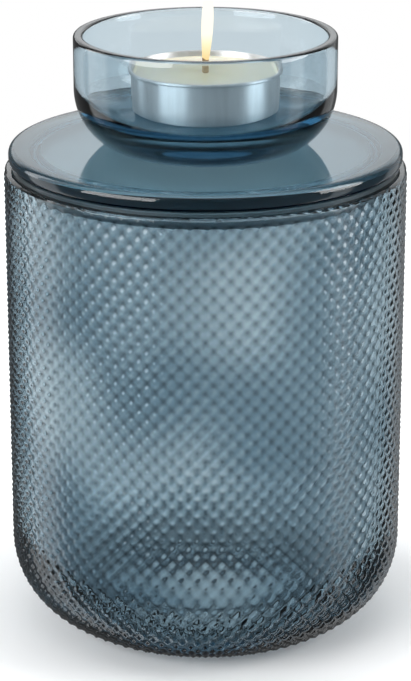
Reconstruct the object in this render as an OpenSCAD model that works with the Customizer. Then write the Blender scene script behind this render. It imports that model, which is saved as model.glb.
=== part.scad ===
// Tealight jar: a pressed-glass storage jar whose glass lid carries a small tealight bowl.
// Millimetres, +Z up, origin on the table under the middle of the jar.
// Every piece is turned about Z, and beads are pressed into the jar's wall. Listed from the table upwards.

/* [Jar] */
// Outside diameter, measured over the pressed relief
jar_d = 102; // [80:1:140]
// Height from the table to the rim
jar_h = 121.5; // [90:0.5:180]
// Thickness of the wall
jar_wall = 4.6; // [3.6:0.1:8]
// Thickness of the floor at the middle of the jar
jar_floor = 7; // [4:0.5:14]
// Outside radius of the round heel
jar_heel_r = 22.3; // [14:0.1:30]
// Inside radius between floor and wall
jar_inside_r = 20; // [8:0.5:24]
// Rounding of the rim towards the outside
rim_outer_r = 1.2; // [0.8:0.1:2.4]
// Rounding of the rim towards the mouth
rim_inner_r = 1.1; // [0.4:0.1:1.2]
// Height of the hollow pressed up into the underside
punt_h = 1.8; // [0.8:0.1:3]
// Width of the flat ring the jar stands on
stand_w = 4.5; // [2:0.5:8]

/* [Pressed relief] */
// Number of beads round the wall
beads_round = 78; // [48:1:96]
// Height of a bead
bead_h = 4.3; // [3:0.1:8]
// Depth of the pits pressed between the beads
pit_depth = 0.75; // [0.4:0.05:1.2]
// How far the beads stand out from the plain heel and rim
bead_rise = 0.2; // [0.1:0.05:0.3]
// How deep the beads are rooted in the wall below the pits
bead_root = 0.6; // [0.4:0.1:1]

/* [Lid plate] */
// Thickness of the plate
lid_t = 4.3; // [3.6:0.1:8]
// How far the plate's edge stays inside the jar's outside
lid_inset = 1.3; // [0.5:0.1:2.2]
// Rounding of the plate's edge, above and below
lid_edge_r = 1.7; // [0.5:0.1:2.1]
// Height of the locating ring under the plate
locating_h = 5.2; // [4.2:0.1:8]
// Thickness of the locating ring
locating_w = 2.8; // [1.5:0.1:5]

/* [Gasket] */
// Thickness of the flange between plate and rim
flange_t = 1.0; // [0.6:0.1:2]
// How far the flange stays inside the plate's edge
flange_inset = 0.9; // [0.4:0.1:2]
// Thickness of the skirt round the locating ring
skirt_t = 1.2; // [0.8:0.1:2]
// How far the locating ring's round end reaches below the skirt
tip_show = 0.8; // [0.3:0.1:1.6]
// How far the sealing beads stand out from the skirt
bead_out = 0.5; // [0.3:0.1:1]
// Gap left between the sealing beads and the mouth
mouth_gap = 0.3; // [0.2:0.05:0.6]
// Gap between the skirt and the locating ring
stretch_gap = 0.05; // [0.02:0.01:0.2]

/* [Tealight bowl] */
// Height of the bowl from its foot to its lip
bowl_h = 28; // [22:0.5:40]
// Thickness of the wall
bowl_wall = 2.5; // [1.8:0.1:4]
// Thickness of the floor
bowl_floor = 6.1; // [3:0.1:9]
// Outside radius of the round heel
bowl_heel_r = 16.2; // [14.6:0.2:20]
// Height above the foot at which the heel meets the wall
bowl_heel_h = 14.5; // [10:0.1:15.8]
// Inside radius between floor and wall
bowl_inside_r = 9.5; // [4:0.5:11]
// Rounding of the lip, inside and outside
lip_edge_r = 0.8; // [0.3:0.05:0.85]
// Room for fingers between the tealight's rim and the wall
finger_gap = 11.1; // [8:0.1:18]
// Thickness of the adhesive under the foot
bond_t = 0.2; // [0.1:0.05:0.5]
// How far the adhesive stays inside the foot
bond_inset = 1; // [0.5:0.1:3]

/* [Tealight] */
// Diameter of the cup over its rolled rim
cup_d = 38.8; // [36:0.1:42]
// Height of the cup
cup_h = 13.4; // [10:0.1:20]
// Thickness of the pressed sheet
cup_wall = 0.3; // [0.2:0.05:0.6]
// Radius of the rolled rim's section
cup_roll_r = 0.45; // [0.35:0.05:0.8]
// How much the wall leans in from rim to floor
cup_draft = 0.4; // [0.1:0.05:1]
// Outside radius between the cup's floor and wall
cup_corner_r = 1.2; // [0.8:0.1:2]
// How far the wax lies below the cup's rim
wax_drop = 1.9; // [1:0.1:4]
// Gap left by the wax as it shrinks from the metal
wax_gap = 0.05; // [0.02:0.01:0.2]
// How far the wax creeps up its edge against the cup
wax_creep = 0.5; // [0.2:0.1:0.9]
// Diameter of the wick
wick_d = 1.7; // [1.2:0.1:2.5]
// Length of wick above the wax
wick_show = 5; // [3:0.5:8]
// Diameter of the sustainer's disc
sustainer_d = 12; // [9:0.5:18]
// Thickness of the sustainer's sheet
sustainer_t = 0.4; // [0.3:0.05:0.8]
// Height of the sustainer's neck above its disc
neck_h = 4; // [2.5:0.5:6]
// Gap between the wick and the sustainer's neck
crimp_gap = 0.03; // [0.01:0.01:0.1]

/* [Hidden] */
$fn = 96;
// Overshoot of a cut past the face it opens
over = 1;

// Radii, from the outside of the jar inwards
jar_r = jar_d / 2;
plain_r = jar_r - bead_rise;
pit_r = jar_r - pit_depth;
core_r = pit_r - bead_root;
mouth_r = jar_r - jar_wall;
stand_r = plain_r - jar_heel_r;
lid_r = jar_r - lid_inset;
flange_r = lid_r - flange_inset;
bead_r = mouth_r - mouth_gap;
skirt_r = bead_r - bead_out;
skirt_in_r = skirt_r - skirt_t;
locating_r = skirt_in_r - stretch_gap;
locating_in_r = locating_r - locating_w;
skirt_h = locating_h - flange_t - tip_show;

// Heights, from the table upwards
lid_z = jar_h + flange_t;
lid_top_z = lid_z + lid_t;
bowl_z = lid_top_z + bond_t;
cup_z = bowl_z + bowl_floor;
wax_z = cup_z + cup_wall;
wax_top_z = cup_z + cup_h - wax_drop;

// Relief: rows of beads, half a bead apart, from the heel to the rim
relief_z = jar_heel_r;
relief_h = jar_h - rim_outer_r - jar_heel_r;
relief_rows = 2 * ceil(relief_h / bead_h);
row_h = relief_h / (relief_rows - 1);

// Bowl, sized round the tealight it holds
cup_r = cup_d / 2;
bowl_in_r = cup_r + finger_gap;
bowl_r = bowl_in_r + bowl_wall;
heel_x = bowl_r - bowl_heel_r;
foot_r = heel_x + sqrt(bowl_heel_r * bowl_heel_r - bowl_heel_h * bowl_heel_h);

// Tealight
cup_wall_r = cup_r - 2 * cup_roll_r + cup_wall;
cup_base_r = cup_wall_r - cup_draft;
wick_r = wick_d / 2;
neck_in_r = wick_r + crimp_gap;
neck_r = neck_in_r + sustainer_t;
sustainer_r = sustainer_d / 2;

glass_colour = [0.40, 0.53, 0.60, 0.55];
clear_glass_colour = [0.56, 0.68, 0.75, 0.45];
silicone_colour = [0.62, 0.64, 0.65, 0.9];
adhesive_colour = [0.80, 0.85, 0.88, 0.5];
aluminium_colour = [0.78, 0.80, 0.82];
wax_colour = [0.93, 0.92, 0.85];
wick_colour = [0.45, 0.33, 0.22];
tin_colour = [0.66, 0.67, 0.68];

// Half section, filled to the axis, with a round heel below and a square top
module heeled_section(r, h, heel_r) {
  translate([0, heel_r])
    square([r, h - heel_r]);
  square([r - heel_r, h]);
  intersection() {
    translate([r - heel_r, heel_r])
      circle(heel_r);
    square([r, h]);
  }
}

// What is left outside a quarter round of radius edge_r at a top outer corner
module corner_waste(r, h, edge_r) {
  difference() {
    translate([r - edge_r, h - edge_r])
      square([edge_r + over, edge_r + over]);
    translate([r - edge_r, h - edge_r])
      circle(edge_r);
  }
}

// Plate with both outer edges rounded
module edged_plate_section(r, t, edge_r) {
  square([r - edge_r, t]);
  translate([0, edge_r])
    square([r, t - 2 * edge_r]);
  for (z = [edge_r, t - edge_r])
    translate([r - edge_r, z])
      circle(edge_r);
}

// Shallow dome under the jar: a circle through the hollow's edge and its top
module punt_section() {
  edge = stand_r - stand_w;
  dome_r = (edge * edge + punt_h * punt_h) / (2 * punt_h);
  intersection() {
    translate([0, punt_h - dome_r])
      circle(dome_r);
    translate([0, -over])
      square([edge + over, punt_h + 2 * over]);
  }
}

// Hollow of a vessel of height h, with its rim rounded into the mouth
module hollow_section(r, floor_t, h, inside_r, edge_r) {
  translate([0, floor_t])
    heeled_section(r, h - floor_t + over, inside_r);
  difference() {
    translate([0, h - edge_r])
      square([r + edge_r, edge_r + over]);
    translate([r + edge_r, h - edge_r])
      circle(edge_r);
  }
}

// Height of a row of the relief, whose end rows are rooted in the heel and the rim
function row_z(row) =
  row == 0 ? relief_z - bead_root :
  row == relief_rows ? relief_z + relief_h + bead_root :
  relief_z + (row - 0.5) * row_h;

// Radius of the relief: beads and pits take turns, between end rows as deep as the pits
function relief_r(column, row) =
  row == 0 || row == relief_rows || (column + row) % 2 == 1 ? pit_r : jar_r;

// Point in a row of two columns for each bead
function row_point(r, column, row) =
  let (a = 180 * column / beads_round) [r * cos(a), r * sin(a), row_z(row)];

// Sleeve of beads: full rings of beads and pits take turns with rings of beads alone
module relief_sleeve() {
  columns = 2 * beads_round;
  pair = columns + beads_round;
  inner = relief_rows / 2 * pair + columns;
  points = [
    for (row = [0:relief_rows], column = [row % 2:1 + row % 2:columns - 1])
      row_point(relief_r(column, row), column, row),
    for (row = [0, relief_rows], column = [1:2:columns - 1])
      row_point(core_r - bead_root, column, row)
  ];
  function full(row, column) = row / 2 * pair + column % columns;
  function beads(row, column) = (row - 1) / 2 * pair + columns + (column % columns - 1) / 2;
  function inside(end, column) = inner + end * beads_round + (column % columns - 1) / 2;
  faces = [
    for (row = [1:2:relief_rows - 1], column = [1:2:columns - 1])
      let (a = beads(row, column), b = beads(row, column + 2))
      each [
        for (step = [-1, 1])
          let (
            left = full(row + step, column - 1),
            pit = full(row + step, column),
            right = full(row + step, column + 1)
          )
          each step < 0
            ? [[left, a, pit], [pit, a, right], [right, a, b]]
            : [[left, pit, a], [pit, right, a], [right, b, a]]
      ],
    for (column = [1:2:columns - 1])
      let (
        low = inside(0, column), low_next = inside(0, column + 2),
        high = inside(1, column), high_next = inside(1, column + 2)
      )
      each [
        [low, low_next, high], [low_next, high_next, high],
        for (end = [0, 1])
          let (
            row = end * relief_rows,
            left = full(row, column - 1), mid = full(row, column), right = full(row, column + 1),
            near = inside(end, column), far = inside(end, column + 2)
          )
          each end == 0
            ? [[left, mid, near], [mid, right, near], [right, far, near]]
            : [[left, near, mid], [mid, near, right], [right, near, far]]
      ]
  ];
  polyhedron(points, faces);
}

// Pressed jar: plain heel and rim, and a wall covered with beads
module jar() {
  color(glass_colour) {
    rotate_extrude()
      difference() {
        heeled_section(plain_r, jar_h, jar_heel_r);
        corner_waste(plain_r, jar_h, rim_outer_r);
        translate([core_r, relief_z])
          square([jar_r, relief_h]);
        hollow_section(mouth_r, jar_floor, jar_h, jar_inside_r, rim_inner_r);
        punt_section();
      }
    relief_sleeve();
  }
}

// Plate with the ring that centres it in the mouth
module lid_plate() {
  color(glass_colour)
    translate([0, 0, lid_z])
      rotate_extrude() {
        edged_plate_section(lid_r, lid_t, lid_edge_r);
        translate([locating_in_r, locating_w / 2 - locating_h])
          square([locating_w, locating_h - locating_w / 2 + over]);
        translate([locating_in_r + locating_w / 2, locating_w / 2 - locating_h])
          circle(locating_w / 2);
      }
}

// Two sealing beads stand out from the gasket's skirt
module lid_gasket() {
  bead_step = skirt_h / 3;
  color(silicone_colour)
    translate([0, 0, jar_h])
      rotate_extrude() {
        translate([skirt_in_r, 0])
          square([flange_r - skirt_in_r, flange_t]);
        translate([skirt_in_r, -skirt_h])
          square([skirt_t, skirt_h]);
        for (i = [1, 2])
          translate([skirt_r, -i * bead_step - bead_out / 2])
            circle(bead_out);
      }
}

module bond_film() {
  color(adhesive_colour)
    translate([0, 0, lid_top_z])
      cylinder(h = bond_t, r = foot_r - bond_inset);
}

// Round heel cut flat at the foot, under a straight wall
module bowl_outer_section() {
  translate([0, bowl_heel_h])
    square([bowl_r, bowl_h - bowl_heel_h]);
  square([heel_x, bowl_h]);
  intersection() {
    translate([heel_x, bowl_heel_h])
      circle(bowl_heel_r);
    square([bowl_r, bowl_h]);
  }
}

// Bowl with its lip rounded on both edges
module tealight_bowl() {
  color(clear_glass_colour)
    translate([0, 0, bowl_z])
      rotate_extrude()
        difference() {
          bowl_outer_section();
          corner_waste(bowl_r, bowl_h, lip_edge_r);
          hollow_section(bowl_in_r, bowl_floor, bowl_h, bowl_inside_r, lip_edge_r);
        }
}

// Filled half section of the cup: drawn-in wall and round bottom corner, set in from the outside by a gap
module cup_section(inset, top) {
  base = cup_base_r - inset;
  lean = cup_draft / cup_h;
  corner = cup_corner_r - inset;
  polygon([
    [0, inset],
    [base - corner, inset],
    for (a = [-75:15:0]) [base - corner + corner * cos(a), inset + corner + corner * sin(a)],
    [base + lean * (top - corner), top],
    [0, top]
  ]);
}

// Pressed cup with its edge rolled outwards
module candle_cup() {
  color(aluminium_colour)
    translate([0, 0, cup_z])
      rotate_extrude() {
        difference() {
          cup_section(0, cup_h - cup_roll_r);
          cup_section(cup_wall, cup_h);
        }
        translate([cup_r - cup_roll_r, cup_h - cup_roll_r])
          circle(cup_roll_r);
      }
}

// Wax cast round the sustainer and the wick, with its edge drawn up against the metal
module candle_wax() {
  wax_inset = cup_wall + wax_gap;
  wax_h = cup_h - wax_drop;
  creep_x = cup_base_r - wax_inset - wax_creep;
  color(wax_colour)
    translate([0, 0, cup_z])
      rotate_extrude()
        difference() {
          cup_section(wax_inset, wax_h + wax_creep);
          translate([0, wax_h])
            square([creep_x, wax_creep + over]);
          translate([creep_x, wax_h + wax_creep])
            circle(wax_creep);
          translate([-over, 0])
            square([sustainer_r + over + wax_gap, wax_inset + sustainer_t]);
          translate([-over, 0])
            square([neck_r + over + wax_gap, wax_inset + sustainer_t + neck_h]);
          translate([-over, 0])
            square([wick_r + over + wax_gap, cup_h]);
        }
}

// Wick from the sustainer's disc to well above the wax
module wick() {
  foot_z = wax_z + sustainer_t;
  color(wick_colour)
    translate([0, 0, foot_z])
      rotate_extrude() {
        square([wick_r, wax_top_z + wick_show - foot_z - wick_r]);
        intersection() {
          translate([0, wax_top_z + wick_show - foot_z - wick_r])
            circle(wick_r);
          translate([0, wax_top_z + wick_show - foot_z - 2 * wick_r])
            square(2 * wick_r);
        }
      }
}

// Disc on the cup's floor with a neck crimped round the wick
module wick_sustainer() {
  color(tin_colour)
    translate([0, 0, wax_z]) {
      cylinder(h = sustainer_t, r = sustainer_r);
      difference() {
        cylinder(h = sustainer_t + neck_h, r = neck_r);
        translate([0, 0, sustainer_t])
          cylinder(h = neck_h + over, r = neck_in_r);
      }
    }
}

jar();
lid_plate();
lid_gasket();
bond_film();
tealight_bowl();
candle_cup();
candle_wax();
wick();
wick_sustainer();
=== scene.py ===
import math

import bmesh
import bpy
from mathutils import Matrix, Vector


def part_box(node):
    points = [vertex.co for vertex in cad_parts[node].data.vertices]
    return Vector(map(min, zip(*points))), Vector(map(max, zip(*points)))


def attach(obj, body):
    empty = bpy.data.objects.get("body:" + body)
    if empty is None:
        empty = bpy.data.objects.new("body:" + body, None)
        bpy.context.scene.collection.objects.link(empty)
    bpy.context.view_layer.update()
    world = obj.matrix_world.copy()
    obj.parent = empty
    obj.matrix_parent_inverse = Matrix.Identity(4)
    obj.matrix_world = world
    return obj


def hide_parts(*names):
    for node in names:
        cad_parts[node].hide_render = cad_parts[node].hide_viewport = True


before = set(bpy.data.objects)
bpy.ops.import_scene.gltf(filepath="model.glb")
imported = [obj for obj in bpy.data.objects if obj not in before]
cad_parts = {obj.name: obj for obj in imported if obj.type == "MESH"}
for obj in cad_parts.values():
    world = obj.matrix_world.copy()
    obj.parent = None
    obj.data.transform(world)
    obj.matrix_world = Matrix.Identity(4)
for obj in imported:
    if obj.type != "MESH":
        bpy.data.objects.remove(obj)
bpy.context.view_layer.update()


# The jar: blue glass pressed in a mould, with rows of small beads and pits all over its outside,
# a thick floor, a large round heel and a smooth fire-polished rim.
# It stands on a flat ring round a shallow hollow.

mm = 0.001
jar_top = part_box("jar")[1]
jar_r = jar_top.x
jar_h = jar_top.z
jar_wall = 4.6 * mm
jar_floor = 7 * mm
heel_r = 22.3 * mm
inside_r = 20 * mm
rim_outer_r = 1.2 * mm
rim_inner_r = 1.1 * mm
hollow_h = 1.8 * mm
stand_w = 4.5 * mm
bead_rise = 0.2 * mm
pit_depth = 0.75 * mm
plain_r = jar_r - bead_rise
mouth_r = jar_r - jar_wall
stand_r = plain_r - heel_r
wall_top = jar_h - rim_outer_r

beads_round = 78
wall_rows = 90
heel_rows = 33
rim_rows = 3
fade_rows = 10
dark_rows = 20


def arc(centre, radius, start, end, steps):
    """Points (r, z) of a round stretch of an outline, angles in degrees from straight out."""
    turns = [math.radians(start + (end - start) * i / steps) for i in range(steps + 1)]
    return [(centre[0] + radius * math.cos(t), centre[1] + radius * math.sin(t)) for t in turns]


def line(start, end, steps):
    """Points (r, z) of a straight stretch, without its two ends."""
    shares = [i / steps for i in range(1, steps)]
    return [tuple(a + (b - a) * s for a, b in zip(start, end)) for s in shares]


def turned(outline, steps, closed=False):
    """Spins an outline of (r, z) points round the axis into a skin that keeps their numbers."""
    shape = bmesh.new()
    number = shape.verts.layers.int.new("outline_point")
    chain = [shape.verts.new((r, 0, z)) for r, z in outline]
    for i, v in enumerate(chain):
        v[number] = i
    ends = zip(chain, chain[1:] + chain[:1]) if closed else zip(chain, chain[1:])
    edges = [shape.edges.new(pair) for pair in ends]
    bmesh.ops.spin(
        shape, geom=chain + edges, axis=(0, 0, 1), cent=(0, 0, 0),
        angle=math.tau, steps=steps, use_merge=True,
    )
    bmesh.ops.remove_doubles(shape, verts=shape.verts, dist=1e-7)
    bmesh.ops.recalc_face_normals(shape, faces=shape.faces)
    return shape


def piece(name, shape, material, body, node=None, crease=None):
    """Makes a finished piece, smooth up to a crease in degrees, and puts it on its body."""
    mesh = bpy.data.meshes.new(name)
    shape.to_mesh(mesh)
    shape.free()
    mesh.shade_smooth()
    made = bpy.data.objects.new(name, mesh)
    bpy.context.scene.collection.objects.link(made)
    mesh.materials.append(material)
    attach(made, body)
    if node:
        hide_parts(node)
    if crease:
        mesh.set_sharp_from_angle(angle=math.radians(crease))


def start_material(name):
    """An empty material with its Principled shader, joined to the output."""
    material = bpy.data.materials.new(name)
    material.use_nodes = True
    nodes = material.node_tree.nodes
    return material, nodes, material.node_tree.links, nodes["Principled BSDF"]


def mottled(nodes, links, size, detail, dark, light, place=(0, 0, 0), stretch=(1, 1, 1)):
    """Colour that changes in soft patches of a size, set out on the piece's own coordinates."""
    where = nodes.new("ShaderNodeTexCoord")
    set_out = nodes.new("ShaderNodeMapping")
    set_out.inputs["Location"].default_value = place
    set_out.inputs["Scale"].default_value = stretch
    links.new(where.outputs["Object"], set_out.inputs["Vector"])
    patches = nodes.new("ShaderNodeTexNoise")
    patches.inputs["Scale"].default_value = 1 / size
    patches.inputs["Detail"].default_value = detail
    links.new(set_out.outputs["Vector"], patches.inputs["Vector"])
    tones = nodes.new("ShaderNodeValToRGB")
    tones.color_ramp.elements[0].position = 0.35
    tones.color_ramp.elements[0].color = dark
    tones.color_ramp.elements[1].position = 0.65
    tones.color_ramp.elements[1].color = light
    links.new(patches.outputs["Fac"], tones.inputs["Fac"])
    return tones.outputs["Color"]


def blue_glass(name, skin, tint, density):
    """Blue soda-lime glass, whose melt takes up red light most and whose skin is a little wavy."""
    material, nodes, links, shader = start_material(name)
    shader.inputs["Base Color"].default_value = skin
    shader.inputs["Roughness"].default_value = 0.0
    shader.inputs["IOR"].default_value = 1.5
    shader.inputs["Transmission Weight"].default_value = 1
    melt = nodes.new("ShaderNodeVolumeAbsorption")
    melt.inputs["Color"].default_value = tint
    melt.inputs["Density"].default_value = density
    links.new(melt.outputs["Volume"], nodes["Material Output"].inputs["Volume"])
    where = nodes.new("ShaderNodeTexCoord")
    waves = nodes.new("ShaderNodeTexNoise")
    waves.inputs["Scale"].default_value = 45
    waves.inputs["Detail"].default_value = 1
    links.new(where.outputs["Object"], waves.inputs["Vector"])
    bump = nodes.new("ShaderNodeBump")
    bump.inputs["Strength"].default_value = 0.1
    bump.inputs["Distance"].default_value = 0.0005
    links.new(waves.outputs["Fac"], bump.inputs["Height"])
    links.new(bump.outputs["Normal"], shader.inputs["Normal"])
    return material, nodes, links, shader


hollow_r = stand_r - stand_w
hollow_dome_r = (hollow_r ** 2 + hollow_h ** 2) / (2 * hollow_h)
hollow_turn = math.degrees(math.asin(hollow_r / hollow_dome_r))
jar_underside = (
    arc((0, hollow_h - hollow_dome_r), hollow_dome_r, 90, 90 - hollow_turn, 8)
    + line((hollow_r, 0), (stand_r, 0), 3)
)
jar_outside = (
    arc((stand_r, heel_r), heel_r, -90, 0, heel_rows)
    + line((plain_r, heel_r), (plain_r, wall_top), wall_rows)
    + arc((plain_r - rim_outer_r, wall_top), rim_outer_r, 0, 90, rim_rows)
)
jar_inside = (
    arc((mouth_r + rim_inner_r, jar_h - rim_inner_r), rim_inner_r, 90, 180, 5)
    + line((mouth_r, jar_h - rim_inner_r), (mouth_r, jar_floor + inside_r), 8)
    + arc((mouth_r - inside_r, jar_floor + inside_r), inside_r, 0, -90, 14)
    + line((mouth_r - inside_r, jar_floor), (0, jar_floor), 4)
    + [(0, jar_floor)]
)
jar_columns = beads_round * 4
jar_shape = turned(jar_underside + jar_outside + jar_inside, jar_columns)

# Press the relief into the plain outside, over the heel and the wall: rows of beads, set half a
# step apart, with a pit wherever four of them meet. Painted shade darkens the glass's skin in
# the pits and towards the bottom of the thick heel
outside_leans = (
    [-90 + 90 * i / heel_rows for i in range(heel_rows)]
    + [0] * wall_rows
    + [90 * i / rim_rows for i in range(rim_rows + 1)]
)
last_row = len(jar_outside) - 1
painted_glass_shade = jar_shape.verts.layers.float.new("painted_glass_shade")
number = jar_shape.verts.layers.int["outline_point"]
pits = set()
for v in jar_shape.verts:
    row = v[number] - len(jar_underside)
    if not 0 <= row <= last_row:
        continue
    turn = math.atan2(v.co.y, v.co.x)
    column = round(turn / math.tau * jar_columns)
    sunk = (1 - math.cos(math.pi / 2 * column) * math.cos(math.pi / 2 * row)) / 2
    below_rim = last_row - rim_rows - row
    fade = max(0, min(1, row / fade_rows, (below_rim + 1) / 2))
    lean = math.radians(outside_leans[row])
    across = math.cos(lean)
    outward = Vector((math.cos(turn) * across, math.sin(turn) * across, math.sin(lean)))
    v.co += outward * fade * (bead_rise - pit_depth * sunk)
    # Painted shade: darker in the pits, and darker towards the bottom of the heel
    v[painted_glass_shade] = max(fade * sunk, 1 - row / dark_rows)
    if sunk > 0.9:
        pits.add(v)

# Cut the faces at each pit along the grooves that run into it
for f in list(jar_shape.faces):
    corners = list(f.verts)
    for i, v in enumerate(corners):
        if v in pits and len(corners) == 4:
            bmesh.utils.face_split(f, v, corners[i - 2])

clear_skin = (1, 1, 1, 1)
painted_shade_colour = (0.04, 0.07, 0.09, 1)
streak_size = 33 * mm
streak_dark = (0.52, 0.61, 0.66, 1)
streak_light = (0.95, 0.98, 0.99, 1)
jar_tint = (0.0, 0.29, 0.42, 1)
jar_density = 72
jar_glass, nodes, links, shader = blue_glass("jar_glass", clear_skin, jar_tint, jar_density)
shader.inputs["Roughness"].default_value = 0.03
# Painted shade: the skin runs towards near-black where the painted shade value is high
painted_shade_amount = nodes.new("ShaderNodeAttribute")
painted_shade_amount.attribute_name = "painted_glass_shade"
shade = nodes.new("ShaderNodeValToRGB")
shade.color_ramp.elements[0].position = 0.3
shade.color_ramp.elements[0].color = clear_skin
shade.color_ramp.elements[1].position = 1
shade.color_ramp.elements[1].color = painted_shade_colour
links.new(painted_shade_amount.outputs["Fac"], shade.inputs["Fac"])
streaks = mottled(
    nodes, links, streak_size, 0, streak_dark, streak_light, place=(1.23, 0.25, 0)
)
streaks_and_painted_shade = nodes.new("ShaderNodeMix")
streaks_and_painted_shade.data_type = "RGBA"
streaks_and_painted_shade.blend_type = "MULTIPLY"
streaks_and_painted_shade.inputs["Factor"].default_value = 1
links.new(shade.outputs["Color"], streaks_and_painted_shade.inputs["A"])
links.new(streaks, streaks_and_painted_shade.inputs["B"])
links.new(streaks_and_painted_shade.outputs["Result"], shader.inputs["Base Color"])
piece("jar_pressed", jar_shape, jar_glass, "jar", "jar", crease=30)


# The gasket: a moulded ring of smoke-grey silicone, stretched over the lid's locating ring.
# Its flange lies between plate and rim, and two beads round its skirt face the mouth.

gasket_low, gasket_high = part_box("lid_gasket")
flange_r = gasket_high.x
flange_t = gasket_high.z - jar_h
mouth_gap = 0.3 * mm
bead_out = 0.5 * mm
skirt_t = 1.2 * mm
seat_gap = 0.02 * mm
skirt_r = mouth_r - mouth_gap - bead_out
skirt_in_r = skirt_r - skirt_t
skirt_h = jar_h - gasket_low.z
bead_step = skirt_h / 3


def silicone():
    """Smoke-grey silicone that lets light in, with the cloudy bloom of handling."""
    material, nodes, links, shader = start_material("silicone")
    bloom = mottled(nodes, links, 0.006, 3, (0.36, 0.39, 0.41, 1), (0.46, 0.49, 0.51, 1))
    links.new(bloom, shader.inputs["Base Color"])
    shader.inputs["Roughness"].default_value = 0.3
    shader.inputs["IOR"].default_value = 1.41
    shader.inputs["Transmission Weight"].default_value = 1
    return material


gasket_beads = []
for i in (1, 2):
    bead_z = jar_h - i * bead_step - bead_out / 2
    gasket_beads += arc((skirt_r, bead_z), bead_out, 90, -90, 8)
gasket_outline = (
    [(skirt_in_r, jar_h + flange_t - seat_gap), (flange_r, jar_h + flange_t - seat_gap)]
    + [(flange_r, jar_h + seat_gap), (skirt_r, jar_h + seat_gap)]
    + gasket_beads
    + [(skirt_r, gasket_low.z), (skirt_in_r, gasket_low.z)]
)
gasket_shape = turned(gasket_outline, 128, closed=True)
piece("lid_gasket_ring", gasket_shape, silicone(), "lid", "lid_gasket", crease=40)


# The lid: a thick round plate of blue glass with a rounded edge, polished on top and left satin
# from the mould underneath, so that nothing in the jar shows sharply through it.
# A low ring moulded under it keeps it centred in the mouth.

lid_low, lid_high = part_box("lid_plate")
lid_r = lid_high.x
lid_z = jar_h + flange_t
lid_edge_r = 1.7 * mm
stretch_gap = 0.05 * mm
locating_w = 2.8 * mm
locating_r = skirt_in_r - stretch_gap
locating_in_r = locating_r - locating_w
locating_mid = locating_r - locating_w / 2
locating_end = lid_low.z + locating_w / 2
lid_outline = (
    [(0, lid_z)]
    + line((0, lid_z), (locating_in_r, lid_z), 6)
    + [(locating_in_r, lid_z)]
    + arc((locating_mid, locating_end), locating_w / 2, 180, 360, 10)
    + [(locating_r, lid_z)]
    + arc((lid_r - lid_edge_r, lid_z + lid_edge_r), lid_edge_r, -90, 0, 8)
    + arc((lid_r - lid_edge_r, lid_high.z - lid_edge_r), lid_edge_r, 0, 90, 8)
    + line((lid_r - lid_edge_r, lid_high.z), (0, lid_high.z), 8)
    + [(0, lid_high.z)]
)


def graded(nodes, links, value, span, levels):
    """A level that changes softly from the first to the second while a value runs over a span."""
    step = nodes.new("ShaderNodeMapRange")
    step.interpolation_type = "SMOOTHSTEP"
    step.inputs["From Min"].default_value = span[0]
    step.inputs["From Max"].default_value = span[1]
    step.inputs["To Min"].default_value = levels[0]
    step.inputs["To Max"].default_value = levels[1]
    links.new(value, step.inputs["Value"])
    return step.outputs["Result"]


def own_axes(nodes, links):
    """The piece's own X, Y and Z, as the outputs of one node."""
    where = nodes.new("ShaderNodeTexCoord")
    axes = nodes.new("ShaderNodeSeparateXYZ")
    links.new(where.outputs["Object"], axes.inputs["Vector"])
    return axes.outputs


lid_skin = (0.8, 0.96, 1, 1)
lid_tint = (0.0, 0.36, 0.5, 1)
lid_density = 95
satin_from = lid_z + 0.3 * mm
polished_from = lid_z + 1 * mm
satin_roughness = 0.35
lid_glass, nodes, links, shader = blue_glass("lid_glass", lid_skin, lid_tint, lid_density)
height = own_axes(nodes, links)["Z"]
satin = graded(nodes, links, height, (satin_from, polished_from), (satin_roughness, 0.0))
links.new(satin, shader.inputs["Roughness"])
lid_shape = turned(lid_outline, 192)
piece("lid_disc", lid_shape, lid_glass, "lid", "lid_plate", crease=50)


# The film of clear adhesive that holds the bowl's ground foot on the plate.
# It is cured in place, a fifth of a millimetre thick, and wets both pieces of glass.

bond_low, bond_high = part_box("bond_film")


def clear_adhesive():
    """Clear cured adhesive of nearly the same index as the glass, a little cloudy in places."""
    material, nodes, links, shader = start_material("clear_adhesive")
    cloud = mottled(nodes, links, 0.008, 2, (0.86, 0.91, 0.96, 1), (0.94, 0.97, 1.0, 1))
    links.new(cloud, shader.inputs["Base Color"])
    shader.inputs["Roughness"].default_value = 0.05
    shader.inputs["IOR"].default_value = 1.48
    shader.inputs["Transmission Weight"].default_value = 1
    return material


wetting = 0.01 * mm
bond_outline = [
    (0, bond_low.z - wetting), (bond_high.x, bond_low.z - wetting),
    (bond_high.x, bond_high.z + wetting), (0, bond_high.z + wetting),
]
bond_shape = turned(bond_outline, 96)
piece("bond_disc", bond_shape, clear_adhesive(), "lid", "bond_film", crease=40)


# The bowl: a small blown bowl of the same melt with a straight wall and a thick floor.
# Its round heel is ground flat at the foot, and its lip is rounded on both edges.

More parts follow.
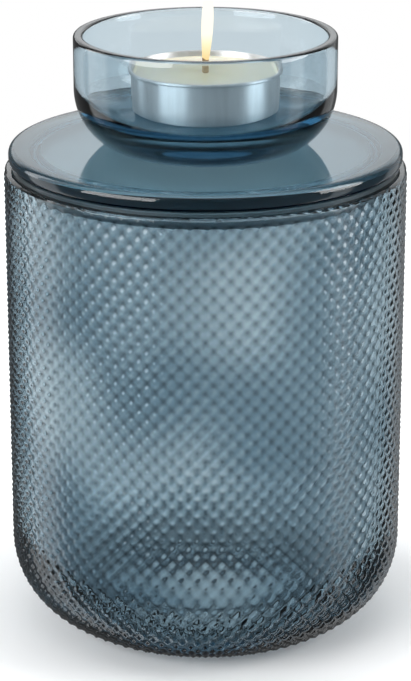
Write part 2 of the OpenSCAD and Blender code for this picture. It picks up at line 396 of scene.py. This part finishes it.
bowl_low, bowl_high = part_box("tealight_bowl")
bowl_z = bowl_low.z
bowl_wall = 2.5 * mm
lip_edge_r = 0.8 * mm
bowl_floor = 6.1 * mm
bowl_heel_r = 16.2 * mm
bowl_heel_h = 14.5 * mm
bowl_inside_r = 9.5 * mm
bowl_r = bowl_high.x
bowl_in_r = bowl_r - bowl_wall
bowl_floor_z = bowl_z + bowl_floor
inside_top_z = bowl_floor_z + bowl_inside_r
lip_z = bowl_high.z - lip_edge_r
heel_x = bowl_r - bowl_heel_r
foot_turn = math.degrees(math.asin(bowl_heel_h / bowl_heel_r))
bowl_outline = (
    [(0, bowl_z), (heel_x, bowl_z)]
    + arc((heel_x, bowl_z + bowl_heel_h), bowl_heel_r, -foot_turn, 0, 24)
    + line((bowl_r, bowl_z + bowl_heel_h), (bowl_r, lip_z), 4)
    + arc((bowl_r - lip_edge_r, lip_z), lip_edge_r, 0, 90, 8)
    + arc((bowl_in_r + lip_edge_r, lip_z), lip_edge_r, 90, 180, 8)
    + line((bowl_in_r, lip_z), (bowl_in_r, inside_top_z), 4)
    + arc((bowl_in_r - bowl_inside_r, inside_top_z), bowl_inside_r, 0, -90, 16)
    + line((bowl_in_r - bowl_inside_r, bowl_floor_z), (0, bowl_floor_z), 3)
    + [(0, bowl_floor_z)]
)
bowl_skin = (0.70, 0.76, 0.79, 1)
bowl_tint = (0.0, 0.34, 0.5, 1)
bowl_density = 55
bowl_glass = blue_glass("bowl_glass", bowl_skin, bowl_tint, bowl_density)[0]
bowl_shape = turned(bowl_outline, 160)
piece(
    "tealight_bowl_blown", bowl_shape, bowl_glass,
    "lid", "tealight_bowl", crease=50,
)


# The tealight's cup: thin aluminium sheet drawn into a shallow cup, with its edge rolled outwards
# so that it can be picked up. It stands loose on the bowl's floor.

cup_low, cup_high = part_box("candle_cup")
cup_z = cup_low.z + seat_gap
cup_h = cup_high.z - cup_low.z
cup_wall = 0.3 * mm
cup_roll_r = 0.45 * mm
cup_draft = 0.4 * mm
cup_corner_r = 1.2 * mm
cup_r = cup_high.x
cup_base_r = cup_r - 2 * cup_roll_r + cup_wall - cup_draft


def drawn_aluminium():
    """Bright aluminium sheet, streaked upright by the draw."""
    material, nodes, links, shader = start_material("drawn_aluminium")
    streaks = mottled(
        nodes, links, 0.0016, 2, (0.82, 0.83, 0.84, 1), (0.9, 0.91, 0.92, 1), stretch=(1, 1, 0.04)
    )
    links.new(streaks, shader.inputs["Base Color"])
    shader.inputs["Metallic"].default_value = 1
    shader.inputs["Roughness"].default_value = 0.5
    shader.inputs["Anisotropic"].default_value = 0.9
    shader.inputs["Anisotropic Rotation"].default_value = 0.25
    grain = nodes.new("ShaderNodeTangent")
    grain.direction_type = "RADIAL"
    grain.axis = "Z"
    links.new(grain.outputs["Tangent"], shader.inputs["Tangent"])
    return material


def cup_line(inset, top):
    """Outline of the cup's outside, set in by a distance, from the axis up to a height."""
    corner = cup_corner_r - inset
    base = cup_base_r - inset
    return (
        [(0, cup_z + inset)]
        + arc((base - corner, cup_z + inset + corner), corner, -90, 0, 6)
        + [(base + cup_draft * (top - corner) / cup_h, cup_z + top)]
    )


roll_z = cup_h - cup_roll_r
cup_outline = (
    cup_line(0, roll_z - cup_roll_r)
    + arc((cup_r - cup_roll_r, cup_z + roll_z), cup_roll_r, -120, 150, 14)
    + list(reversed(cup_line(cup_wall, roll_z)))
)
cup_shape = turned(cup_outline, 144)
piece(
    "tealight_cup", cup_shape, drawn_aluminium(),
    "tealight", "candle_cup", crease=50,
)


# The sustainer: a small disc pressed from tinned steel, with a neck crimped round the wick.
# It lies on the cup's floor, hidden in the wax, and holds the wick upright.

sustainer_low, sustainer_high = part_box("wick_sustainer")
wick_low, wick_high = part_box("wick")
sustainer_t = 0.4 * mm
wick_r = wick_high.x
neck_in_r = wick_r + 0.03 * mm
neck_r = neck_in_r + sustainer_t
sustainer_z = sustainer_low.z + seat_gap


def tinned_steel():
    """Dull tinned sheet, mottled by its coating."""
    material, nodes, links, shader = start_material("tinned_steel")
    coating = mottled(nodes, links, 0.0015, 2, (0.44, 0.44, 0.45, 1), (0.56, 0.56, 0.57, 1))
    links.new(coating, shader.inputs["Base Color"])
    shader.inputs["Metallic"].default_value = 1
    shader.inputs["Roughness"].default_value = 0.4
    return material


sustainer_outline = [
    (0, sustainer_z), (sustainer_high.x, sustainer_z),
    (sustainer_high.x, sustainer_z + sustainer_t), (neck_r, sustainer_z + sustainer_t),
    (neck_r, sustainer_high.z), (neck_in_r, sustainer_high.z),
    (neck_in_r, sustainer_z + sustainer_t), (0, sustainer_z + sustainer_t),
]
sustainer_shape = turned(sustainer_outline, 48)
piece(
    "wick_sustainer_disc", sustainer_shape, tinned_steel(),
    "tealight", "wick_sustainer", crease=40,
)


# The wick: a thin braid of waxed cotton that stands out of the wax and is charred where it burns.
# The sustainer's neck holds its foot.

wax_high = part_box("candle_wax")[1]
wax_creep = 0.5 * mm
wax_top = wax_high.z - wax_creep


def burning_cotton():
    """Waxed cotton below, charred above, with the ribs of its braid."""
    material, nodes, links, shader = start_material("burning_cotton")
    height = own_axes(nodes, links)["Z"]
    burnt = graded(nodes, links, height, (wax_top, wick_high.z), (0, 1))
    char = nodes.new("ShaderNodeValToRGB")
    char.color_ramp.elements[0].color = (0.5, 0.37, 0.22, 1)
    char.color_ramp.elements[1].color = (0.2, 0.12, 0.06, 1)
    links.new(burnt, char.inputs["Fac"])
    links.new(char.outputs["Color"], shader.inputs["Base Color"])
    shader.inputs["Roughness"].default_value = 0.8
    where = nodes.new("ShaderNodeTexCoord")
    braid = nodes.new("ShaderNodeTexWave")
    braid.bands_direction = "DIAGONAL"
    braid.inputs["Scale"].default_value = 300
    links.new(where.outputs["Object"], braid.inputs["Vector"])
    ribs = nodes.new("ShaderNodeBump")
    ribs.inputs["Strength"].default_value = 0.6
    ribs.inputs["Distance"].default_value = 0.0002
    links.new(braid.outputs["Fac"], ribs.inputs["Height"])
    links.new(ribs.outputs["Normal"], shader.inputs["Normal"])
    return material


wick_outline = (
    [(0, wick_low.z), (wick_r, wick_low.z), (wick_r, wick_high.z - wick_r)]
    + arc((0, wick_high.z - wick_r), wick_r, 0, 90, 5)
)
piece("wick_braid", turned(wick_outline, 16), burning_cotton(), "tealight", "wick")


# The wax: white wax cast in the cup round the wick, with its edge drawn up against the metal.
# The flame has softened it round the wick, and the flame's warm light on that molten pool is
# painted into its colour.

wax_inset = cup_wall + 0.05 * mm


def soft_wax():
    """Soft white wax that lets light in, with the flame's warm light painted on round the wick."""
    material, nodes, links, shader = start_material("soft_wax")
    axes = own_axes(nodes, links)
    flat = nodes.new("ShaderNodeCombineXYZ")
    links.new(axes["X"], flat.inputs["X"])
    links.new(axes["Y"], flat.inputs["Y"])
    from_wick = nodes.new("ShaderNodeVectorMath")
    from_wick.operation = "LENGTH"
    links.new(flat.outputs["Vector"], from_wick.inputs[0])
    outside_painted_glow = graded(nodes, links, from_wick.outputs["Value"], (3 * mm, 13 * mm), (0, 1))
    # Painted light: the wax turns warmer round the wick, where the flame's glow falls
    painted_flame_warmth = nodes.new("ShaderNodeValToRGB")
    painted_flame_warmth.color_ramp.elements[0].color = (0.94, 0.86, 0.62, 1)
    painted_flame_warmth.color_ramp.elements[1].color = (0.91, 0.87, 0.72, 1)
    links.new(outside_painted_glow, painted_flame_warmth.inputs["Fac"])
    links.new(painted_flame_warmth.outputs["Color"], shader.inputs["Base Color"])
    shader.inputs["Roughness"].default_value = 0.35
    shader.inputs["Subsurface Weight"].default_value = 0.3
    shader.inputs["Subsurface Radius"].default_value = (0.004, 0.003, 0.002)
    return material


creep_x = cup_base_r - wax_inset - wax_creep
wax_outline = (
    cup_line(wax_inset, wax_high.z - cup_z)
    + arc((creep_x, wax_high.z), wax_creep, 0, -90, 6)
    + [(wick_r + 0.05 * mm, wax_top), (0, wax_top)]
)
piece("cast_wax", turned(wax_outline, 96), soft_wax(), "tealight", "candle_wax")


# The flame: a narrow tongue of light round the wick's tip, orange at its foot and cream above.
# It is a piece of the scene only and has no solid.

flame_low = wick_high.z - 2 * mm
flame_high = 168.6 * mm
flame_r = 1.5 * mm
flame_belly = 0.5
flame_drift = 0.7 * mm
flame_steps = 28


def flame_light():
    """White-hot flame, orange at its foot and cream above."""
    material, nodes, links, shader = start_material("flame_light")
    shader.inputs["Base Color"].default_value = (0, 0, 0, 1)
    shader.inputs["Specular IOR Level"].default_value = 0
    height = nodes.new("ShaderNodeMapRange")
    height.inputs["From Min"].default_value = flame_low
    height.inputs["From Max"].default_value = flame_high
    links.new(own_axes(nodes, links)["Z"], height.inputs["Value"])
    heat = nodes.new("ShaderNodeValToRGB")
    heat.color_ramp.elements[0].position = 0.02
    heat.color_ramp.elements[0].color = (0.85, 0.6, 0.25, 1)
    heat.color_ramp.elements[1].position = 1
    heat.color_ramp.elements[1].color = (1.0, 0.97, 0.88, 1)
    for place, colour in ((0.2, (0.95, 0.82, 0.5, 1)), (0.35, (1.0, 0.95, 0.8, 1))):
        heat.color_ramp.elements.new(place).color = colour
    links.new(height.outputs["Result"], heat.inputs["Fac"])
    links.new(heat.outputs["Color"], shader.inputs["Emission Color"])
    shader.inputs["Emission Strength"].default_value = 1.15
    return material


flame_outline = []
for i in range(flame_steps + 1):
    share = i / flame_steps
    if share < flame_belly:
        swell = 0.5 + 0.5 * math.sin(share / flame_belly * math.pi / 2)
    else:
        swell = math.cos((share - flame_belly) / (1 - flame_belly) * math.pi / 2) ** 0.8
    if i == 0:
        swell = 0
    flame_outline.append((flame_r * swell, flame_low + (flame_high - flame_low) * share))
flame_shape = turned(flame_outline, 24)
for v in flame_shape.verts:
    share = (v.co.z - flame_low) / (flame_high - flame_low)
    v.co.x += flame_drift * math.sin(share * math.pi / 2)
piece("flame", flame_shape, flame_light(), "tealight")


# The floor: a plain white sheet, which keeps the jar's soft shadow round its foot. Its glow to
# the camera is held back near the foot, which paints that shadow deeper, and it clears to the
# white of the background further out. Through the jar's base it shows a painted glow in place
# of the light that the thick glass gathers there, and the glass is kept clear of its reflection.

floor_r = 0.45
shadow_span = (0.045, 0.1)
shadow_to_clear = (0.04, 0.5)
painted_caustic_span = (0.024, 0.05)
painted_caustic_levels = (0.5, 0)
floor_shape = bmesh.new()
bmesh.ops.create_circle(floor_shape, cap_ends=True, segments=96, radius=floor_r)
floor_mesh = bpy.data.meshes.new("floor")
floor_shape.to_mesh(floor_mesh)
floor_shape.free()
floor = bpy.data.objects.new("floor", floor_mesh)
floor.location.z = -0.2 * mm
floor.visible_glossy = False
bpy.context.scene.collection.objects.link(floor)
floor_paint, nodes, links, shader = start_material("floor_paint")
shader.inputs["Base Color"].default_value = (0.92, 0.92, 0.92, 1)
shader.inputs["Roughness"].default_value = 0.9
shader.inputs["Specular IOR Level"].default_value = 0
shader.inputs["Emission Color"].default_value = (1, 1, 1, 1)
where = nodes.new("ShaderNodeTexCoord")
from_jar = nodes.new("ShaderNodeVectorMath")
from_jar.operation = "LENGTH"
links.new(where.outputs["Object"], from_jar.inputs[0])
# Painted shade: the camera-seen glow stays low near the foot and rises to white further out
glow_beyond_painted_shade = graded(nodes, links, from_jar.outputs["Value"], shadow_span, shadow_to_clear)


def worked_out(nodes, links, operation, first, second):
    """A sum on two values, each an output or a plain number."""
    sum_node = nodes.new("ShaderNodeMath")
    sum_node.operation = operation
    for socket, value in zip(sum_node.inputs, (first, second)):
        if isinstance(value, (int, float)):
            socket.default_value = value
        else:
            links.new(value, socket)
    return sum_node.outputs["Value"]


path = nodes.new("ShaderNodeLightPath")
white_out = worked_out(nodes, links, "MULTIPLY", path.outputs["Is Camera Ray"], glow_beyond_painted_shade)
# Painted light: a glow seen only through the glass, strongest under the middle of the jar
painted_caustic_glow = graded(nodes, links, from_jar.outputs["Value"], painted_caustic_span, painted_caustic_levels)
painted_caustic_seen = worked_out(nodes, links, "MULTIPLY", path.outputs["Is Transmission Ray"], painted_caustic_glow)
floor_light = worked_out(nodes, links, "ADD", white_out, painted_caustic_seen)
links.new(floor_light, shader.inputs["Emission Strength"])
floor_mesh.materials.append(floor_paint)


# The studio: a dim room with white sheets hung beside, behind and above the jar, which the glass
# shows as upright light bands and the lid as one even sheen. Seen through the glass it is white
# with a greyer line at the horizon, and the camera sees plain white.

world = bpy.data.worlds.new("studio")
bpy.context.scene.world = world
world.use_nodes = True
nodes = world.node_tree.nodes
links = world.node_tree.links
surround = nodes["Background"]
where = nodes.new("ShaderNodeTexCoord")
axes = nodes.new("ShaderNodeSeparateXYZ")
links.new(where.outputs["Generated"], axes.inputs["Vector"])
ahead = worked_out(nodes, links, "MULTIPLY", axes.outputs["Y"], -1)
bearing = worked_out(nodes, links, "ARCTAN2", axes.outputs["X"], ahead)
whole_turn = worked_out(nodes, links, "DIVIDE", bearing, math.tau)
sheets = nodes.new("ShaderNodeValToRGB")
sheets.color_ramp.elements[0].color = (0.15, 0.15, 0.15, 1)
sheets.color_ramp.elements[1].color = (0.15, 0.15, 0.15, 1)
for turn, white in (
    (-124, 0.12), (-119, 1.5), (-97, 1.5), (-92, 0.25), (0, 0.08), (76, 0.25), (80, 1.5), (91, 1.5),
    (96, 0.12), (127, 0.12), (131, 0.6), (150, 0.6), (155, 0.15),
):
    sheets.color_ramp.elements.new(turn / 360 + 0.5).color = (white, white, white, 1)
links.new(worked_out(nodes, links, "ADD", whole_turn, 0.5), sheets.inputs["Fac"])
backward = graded(nodes, links, axes.outputs["Y"], (0.6, 0.85), (0, 1.3))
raised = graded(nodes, links, axes.outputs["Z"], (0.06, 0.22), (0, 1))
behind = worked_out(nodes, links, "MULTIPLY", backward, raised)
above = graded(nodes, links, axes.outputs["Z"], (0.75, 0.95), (0, 1.2))
hung = worked_out(nodes, links, "MAXIMUM", sheets.outputs["Color"], behind)
room = worked_out(nodes, links, "MAXIMUM", hung, above)
off_level = worked_out(nodes, links, "SUBTRACT", axes.outputs["Z"], 0.06)
off_horizon = worked_out(nodes, links, "ABSOLUTE", off_level, 0)
through_glass = graded(nodes, links, off_horizon, (0.14, 0.24), (0.4, 1))
path = nodes.new("ShaderNodeLightPath")
seen_as = nodes.new("ShaderNodeMix")
links.new(path.outputs["Is Transmission Ray"], seen_as.inputs["Factor"])
links.new(room, seen_as.inputs["A"])
links.new(through_glass, seen_as.inputs["B"])
by_camera = path.outputs["Is Camera Ray"]
level = worked_out(nodes, links, "MAXIMUM", by_camera, seen_as.outputs["Result"])
links.new(level, surround.inputs["Strength"])
cool = nodes.new("ShaderNodeMix")
cool.data_type = "RGBA"
cool.inputs["A"].default_value = (0.95, 0.98, 1.0, 1)
cool.inputs["B"].default_value = (1, 1, 1, 1)
links.new(by_camera, cool.inputs["Factor"])
links.new(cool.outputs["Result"], surround.inputs["Color"])

panel_away = 0.9
panel_h = 0.8
for name, turn, width, glow in (
    ("panel_left", -50, 0.74, 6),
    ("panel_left_back", -115, 0.24, 2),
    ("panel_right", 82, 0.5, 6),
):
    lamp = bpy.data.lights.new(name, "AREA")
    lamp.shape = "RECTANGLE"
    lamp.size = width
    lamp.size_y = panel_h
    lamp.energy = glow * math.pi * width * panel_h
    stand = bpy.data.objects.new(name, lamp)
    side = math.radians(turn)
    stand.location = (
        panel_away * math.sin(side), -panel_away * math.cos(side), panel_h / 2 + 0.01
    )
    stand.rotation_euler = (math.radians(90), 0, side)
    stand.visible_camera = False
    bpy.context.scene.collection.objects.link(stand)


# The camera stands in front and a little above, as the photograph was taken, with a long lens
# that takes in the whole jar from the table to the flame.

camera_back = 0.6281
camera_up = 0.2908
camera_tilt = 19.03
camera_data = bpy.data.cameras.new("camera")
camera_data.sensor_width = 36
camera_data.lens = 135.67
camera_data.clip_start = 0.01
camera = bpy.data.objects.new("camera", camera_data)
camera.location = (0, -camera_back, camera_up)
camera.rotation_euler = (math.radians(90 - camera_tilt), 0, 0)
bpy.context.scene.collection.objects.link(camera)
bpy.context.scene.camera = camera
bpy.context.scene.view_settings.view_transform = "Standard"
